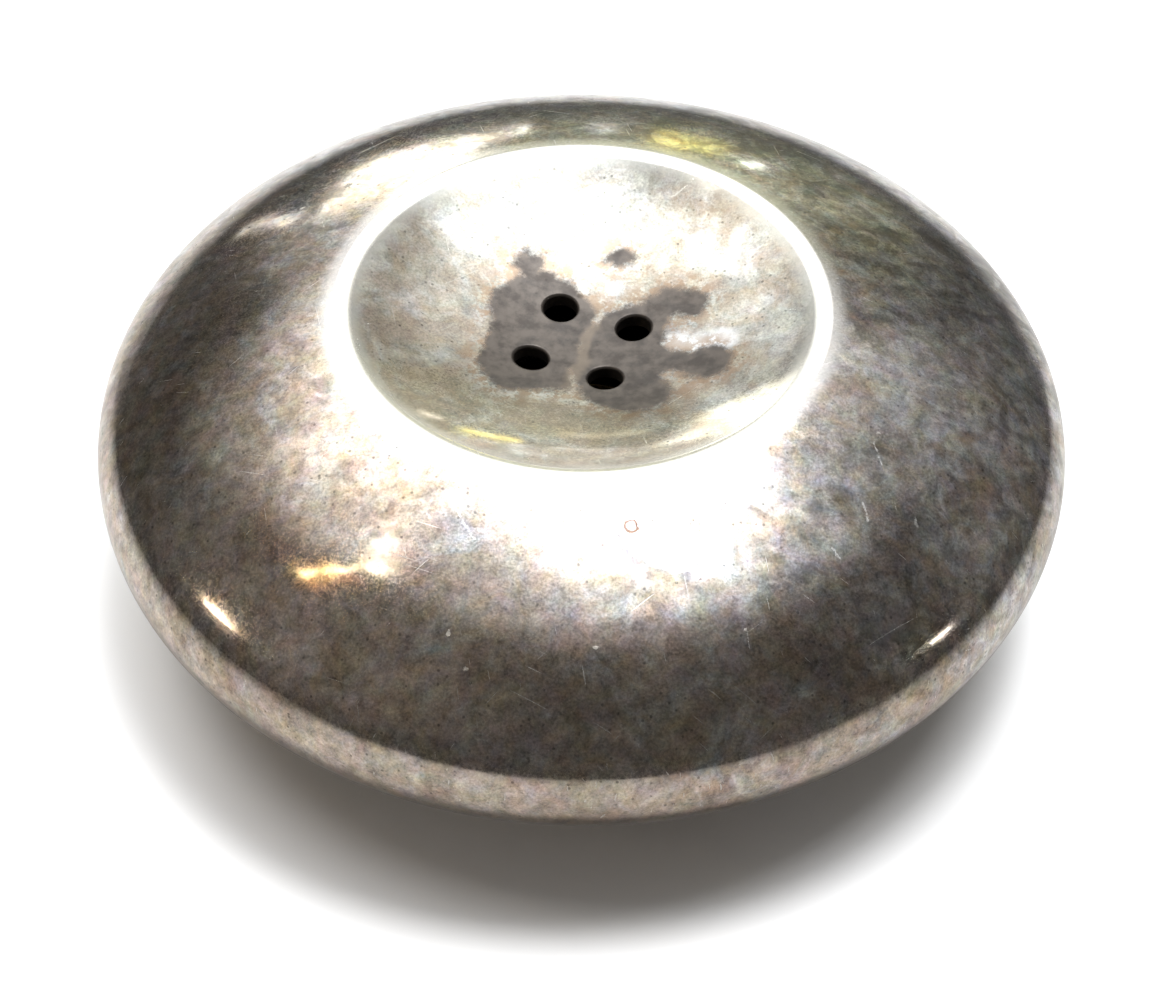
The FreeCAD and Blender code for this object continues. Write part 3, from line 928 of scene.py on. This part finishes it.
def cork():
    """Pressed cork: pale granules with darker bark between them."""
    material, n = new_material("pressed_cork")
    place = n.millimetres()
    pattern = {"Vector": place, "Scale": CORK_CELLS}
    cells = n.make("ShaderNodeTexVoronoi", pattern, feature="F1")
    edges = n.make("ShaderNodeTexVoronoi", pattern, feature="DISTANCE_TO_EDGE")
    gaps = n.ease(edges.outputs["Distance"], *CORK_GAP)
    bark = n.ease(n.noise(place, *CORK_BARK), *CORK_BARK_PATCHES)
    shade = n.parts(cells.outputs["Color"])[0]
    base = n.mix(shade, DARK_CORK, PALE_CORK)
    base = n.mix(n.math("MAXIMUM", gaps, n.product(bark, 0.8)), base, BARK)
    grain = n.product(n.noise(place, *CORK_GRAIN), CORK_GRAIN_HEIGHT)
    height = n.total(n.product(gaps, CORK_GAP_HEIGHT), grain)
    n.surface(Base_Color=base, Roughness=0.85, Normal=n.bump(height))
    return material


# The pieces


def add_piece(name, surface, body, node, material):
    mesh = surface.mesh(name)
    mesh.materials.append(material)
    piece = bpy.data.objects.new(name, mesh)
    bpy.context.scene.collection.objects.link(piece)
    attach(piece, body)
    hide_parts(node)
    return piece


def add_pieces():
    stained = silver("silver_plate_stained", with_dish=True)
    plain = silver("silver_plate", with_dish=False)
    add_piece("spun_top", top_shell(), "shaker_body", "top_shell", stained)
    add_piece("spun_base", base_shell(), "shaker_body", "base_shell", plain)
    add_piece("soldered_foot", foot_ring(), "shaker_body", "foot_ring", plain)
    add_piece("plug_face", plug_face(), "screw_plug", "plug_disc", plain)
    add_piece("plug_bar", plug_bar(), "screw_plug", "turn_bar", plain)
    metal, seal = brass(), cork()
    for node, material in (
        ("seam_band", metal),
        ("filler_collar", metal),
        ("plug_sleeve", metal),
        ("plug_gasket", seal),
    ):
        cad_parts[node].material_slots[0].material = material


# The stage


def direction(azimuth, elevation):
    """The unit vector towards an azimuth, 0 at +Y and 90 at +X, and an elevation, both in degrees."""
    a, e = math.radians(azimuth), math.radians(elevation)
    return (math.sin(a) * math.cos(e), math.cos(a) * math.cos(e), math.sin(e))


# Round soft lights: azimuth, elevation, radius, softness, colour and strength
ROUND_LIGHTS = (
    (24, 73, 16.5, 8, (0.95, 0.99, 1.05), 4.0),
    (18, 75, 20, 18, (0.96, 0.99, 1.04), 1.45),
    (10, 84, 26, 22, (1.0, 1.0, 1.0), 0.25),
    (-8, 51, 26, 9, (0.97, 0.99, 1.0), 2.4),
    (42, 46, 18, 16, (1.0, 0.97, 0.94), 0.15),
    (26, 42, 12, 12, (1.0, 0.98, 0.95), 0.55),
    (-50, 60, 12, 10, (1.0, 0.95, 0.90), 1.3),
    (-50, 44, 10, 16, (1.0, 0.95, 0.90), 0.5),
    (-18, 19, 8, 7, (1.0, 0.97, 0.93), 0.8),
    (-110, 36, 26, 22, (1.0, 0.93, 0.87), 0.14),
    (60, 22, 20, 18, (0.97, 0.98, 1.0), 0.15),
    (7, 15, 15, 13, (0.92, 0.95, 0.66), 0.6),
)
# Cards: azimuth and elevation, the azimuth's change with elevation, half width and half height, softness,
# colour and strength
CARDS = (
    (-89.0, 53, 0.37, 1.1, 5.2, 0.5, (1.0, 0.72, 0.36), 8.0),
    (-84.8, 61, 0.74, 1.0, 3.8, 0.6, (1.0, 0.82, 0.56), 6.0),
    (-92, 54, 0.37, 2.4, 6.0, 1.2, (1.0, 0.56, 0.28), 0.8),
    (-78, 64.6, 0, 8, 1.8, 1.0, (1.0, 0.98, 0.94), 4.0),
    (-95.8, 21.2, -2.0, 2.0, 1.4, 0.4, (1.0, 0.85, 0.60), 20.0),
    (-97, 17, 0, 4, 3, 2, (1.0, 0.80, 0.60), 0.5),
    (99.3, 12.8, 0, 1.2, 0.9, 0.3, (0.95, 0.98, 1.0), 50.0),
    (-13, 7, -0.6, 5, 6, 2, (1.0, 0.98, 0.86), 3.6),
    (-23.8, 5, 0.25, 0.8, 5, 0.6, (1.0, 1.0, 0.95), 2.2),
    (-4.4, 0.5, 0, 0.8, 2, 0.6, (1.0, 1.0, 0.95), 1.6),
    (1.3, 1.4, 0, 0.8, 2, 0.6, (1.0, 1.0, 0.95), 1.6),
    (6.9, 1.5, 0, 2.4, 1.0, 0.6, (1.0, 0.88, 0.22), 1.0),
    (6.8, 4.5, 0, 2.2, 0.9, 0.5, (1.0, 0.90, 0.25), 3.2),
    (11.9, 6.2, 0, 0.7, 0.6, 0.4, (1.0, 1.0, 0.92), 7.0),
    (-2, 10, 0, 4, 1.0, 0.8, (1.0, 0.97, 0.70), 0.8),
)
ROOM = (0.118, 0.115, 0.110)
BACKDROP = colour(1.0, 1.0, 1.0)
FLOOR_PALE = colour(0.88, 0.88, 0.88)
# The sheet that only reflections show has painted light and shade: paler at the back, darker far out and to
# the right, and a painted glow
MIRRORED_PAINTED_SHADE_AT_FRONT = colour(0.37, 0.36, 0.345)
MIRRORED_PAINTED_LIGHT_AT_BACK = colour(0.52, 0.515, 0.505)
MIRRORED_PAINTED_GLOW = colour(1.0, 0.98, 0.95)
MIRRORED_PAINTED_GLOW_STRENGTH = 0.08
FLOOR_REACH = 6000
MIRRORED_LOW = (-130, -82)
MIRRORED_HIGH = (130, 110)
MIRRORED_Z = 0.05
MIRRORED_FAR = (40.0, 115.0)  # distances from the middle over which painted shade darkens the sheet
MIRRORED_FAR_PAINTED_SHADE = 0.75
MIRRORED_BACK = (-40.0, 60.0)
# x over which painted shade darkens the sheet to the right
MIRRORED_RIGHT = (0.0, 50.0)
MIRRORED_RIGHT_PAINTED_SHADE = 0.2


def round_light(n, way, azimuth, elevation, radius, soft):
    """1 in a soft disc of directions."""
    angle = n.math("ARCCOSINE", n.vector("DOT_PRODUCT", way, direction(azimuth, elevation)))
    return n.ease(n.math("DEGREES", angle), radius + soft, radius - soft)


def card(n, azimuth, elevation, at_azimuth, at_elevation, lean, half_width, half_height, soft):
    """1 in a soft upright or leaning strip of directions."""
    up = n.math("SUBTRACT", elevation, at_elevation)
    across = n.math("SUBTRACT", n.math("SUBTRACT", azimuth, at_azimuth), n.product(up, lean))
    return n.product(
        n.ease(n.math("ABSOLUTE", across), half_width + soft, half_width - soft),
        n.ease(n.math("ABSOLUTE", up), half_height + soft, half_height - soft),
    )


def room():
    """A dim room with large soft lights above and behind, and white to the camera."""
    world = bpy.data.worlds.new("room")
    bpy.context.scene.world = world
    world.use_nodes = True
    n = Nodes(world.node_tree)
    way = n.make("ShaderNodeTexCoord").outputs["Generated"]
    x, y, z = n.parts(way)
    elevation = n.math("DEGREES", n.math("ARCSINE", z))
    azimuth = n.math("DEGREES", n.math("ARCTAN2", x, y))
    shares = [(round_light(n, way, *shape), tint, strength) for *shape, tint, strength in ROUND_LIGHTS]
    shares += [(card(n, azimuth, elevation, *shape), tint, strength) for *shape, tint, strength in CARDS]
    seen = ROOM
    for share, tint, strength in shares:
        seen = n.vector("ADD", seen, n.scaled(tuple(c * strength for c in tint), share))
    to_camera = n.make("ShaderNodeLightPath").outputs["Is Camera Ray"]
    shown = n.mix(to_camera, seen, BACKDROP)
    sky = n.make("ShaderNodeBackground", {"Color": shown, "Strength": 1.0})
    n.make("ShaderNodeOutputWorld", {"Surface": sky.outputs[0]})


# Soft lights on the floor, which reflections don't show: azimuth, elevation, angle across and strength
FLOOR_LIGHTS = (
    (62, 70, 24, 1.4),
    (38, 80, 16, 1.0),
    (-82, 68, 24, 0.7),
    (-20, 30, 20, 0.4),
)


def floor_lights():
    """They come mostly from overhead to the left and right, so the shadow is soft at the sides."""
    for azimuth, elevation, across, strength in FLOOR_LIGHTS:
        data = bpy.data.lights.new("floor_light", "SUN")
        data.energy = strength
        data.angle = math.radians(across)
        lamp = bpy.data.objects.new("floor_light", data)
        bpy.context.scene.collection.objects.link(lamp)
        lamp.rotation_mode = "QUATERNION"
        lamp.rotation_quaternion = Vector(direction(azimuth, elevation)).to_track_quat("Z", "Y")
        lamp.visible_glossy = False


def sheet_of_paper(name, low, high, z):
    """A flat rectangle of the stage, and its material's nodes to be filled in."""
    corners = [(low[0], low[1], z), (high[0], low[1], z), (high[0], high[1], z), (low[0], high[1], z)]
    mesh = bpy.data.meshes.new(name)
    mesh.from_pydata([tuple(c * MM for c in corner) for corner in corners], [], [(0, 1, 2, 3)])
    material, n = new_material(name)
    mesh.materials.append(material)
    sheet = bpy.data.objects.new(name, mesh)
    bpy.context.scene.collection.objects.link(sheet)
    return sheet, n


def one_sided(n, shader):
    behind = n.make("ShaderNodeNewGeometry").outputs["Backfacing"]
    clear = n.make("ShaderNodeBsdfTransparent").outputs[0]
    either = n.make("ShaderNodeMixShader", {0: behind, 1: shader, 2: clear})
    n.make("ShaderNodeOutputMaterial", {"Surface": either.outputs[0]})


def floor():
    """A pale floor for the camera, and on it a duller sheet that only reflections show.

    The sheet has painted light and shade: it is paler at the back, falls off to the right and far out, and
    has a painted glow that lifts its shadows.
    """
    shown, n = sheet_of_paper("floor_seen", (-FLOOR_REACH,) * 2, (FLOOR_REACH,) * 2, 0.0)
    one_sided(n, n.make("ShaderNodeBsdfDiffuse", {"Color": FLOOR_PALE}).outputs[0])
    shown.visible_glossy = False
    mirrored, n = sheet_of_paper("floor_mirrored", MIRRORED_LOW, MIRRORED_HIGH, MIRRORED_Z)
    place = n.millimetres()
    x, y, z = n.parts(place)
    # Painted light at the back, and painted shade far out and to the right
    shade = n.mix(n.ease(y, *MIRRORED_BACK), MIRRORED_PAINTED_SHADE_AT_FRONT, MIRRORED_PAINTED_LIGHT_AT_BACK)
    far = n.product(n.ease(n.vector("LENGTH", place), *MIRRORED_FAR), -MIRRORED_FAR_PAINTED_SHADE)
    right = n.product(n.ease(x, *MIRRORED_RIGHT), -MIRRORED_RIGHT_PAINTED_SHADE)
    shade = n.scaled(shade, n.total(1.0, far, right))
    paper = n.make("ShaderNodeBsdfDiffuse", {"Color": shade}).outputs[0]
    # A painted glow, no lamp, that lifts the sheet's shadows
    painted_glow = n.make("ShaderNodeEmission", {"Color": MIRRORED_PAINTED_GLOW, "Strength": MIRRORED_PAINTED_GLOW_STRENGTH}).outputs[0]
    one_sided(n, n.make("ShaderNodeAddShader", {0: paper, 1: painted_glow}).outputs[0])
    mirrored.visible_camera = False
    mirrored.visible_diffuse = False
    mirrored.visible_shadow = False


CAMERA_DISTANCE = 7.0  # in body radii, from the middle of the equator
CAMERA_ELEVATION = 44.3
CAMERA_AIM_BELOW = 1.15
CAMERA_ROLL = 0.6
LENS = 104.3
SENSOR_WIDTH = 36.0
NEAR, FAR = 0.01, 50.0


def camera():
    data = bpy.data.cameras.new("camera")
    data.lens = LENS
    data.sensor_width = SENSOR_WIDTH
    eye = bpy.data.objects.new("camera", data)
    bpy.context.scene.collection.objects.link(eye)
    away = Vector(direction(180, CAMERA_ELEVATION)) * CAMERA_DISTANCE * BODY_RADIUS * MM
    place = Vector((0, 0, EQUATOR_Z * MM)) + away
    tip = math.radians(90 - CAMERA_ELEVATION - CAMERA_AIM_BELOW)
    roll = Matrix.Rotation(math.radians(CAMERA_ROLL), 4, "Z")
    eye.matrix_world = Matrix.Translation(place) @ Matrix.Rotation(tip, 4, "X") @ roll
    data.clip_start = NEAR
    data.clip_end = FAR
    bpy.context.scene.camera = eye


add_pieces()
room()
floor_lights()
floor()
camera()
bpy.context.scene.view_settings.view_transform = "Standard"
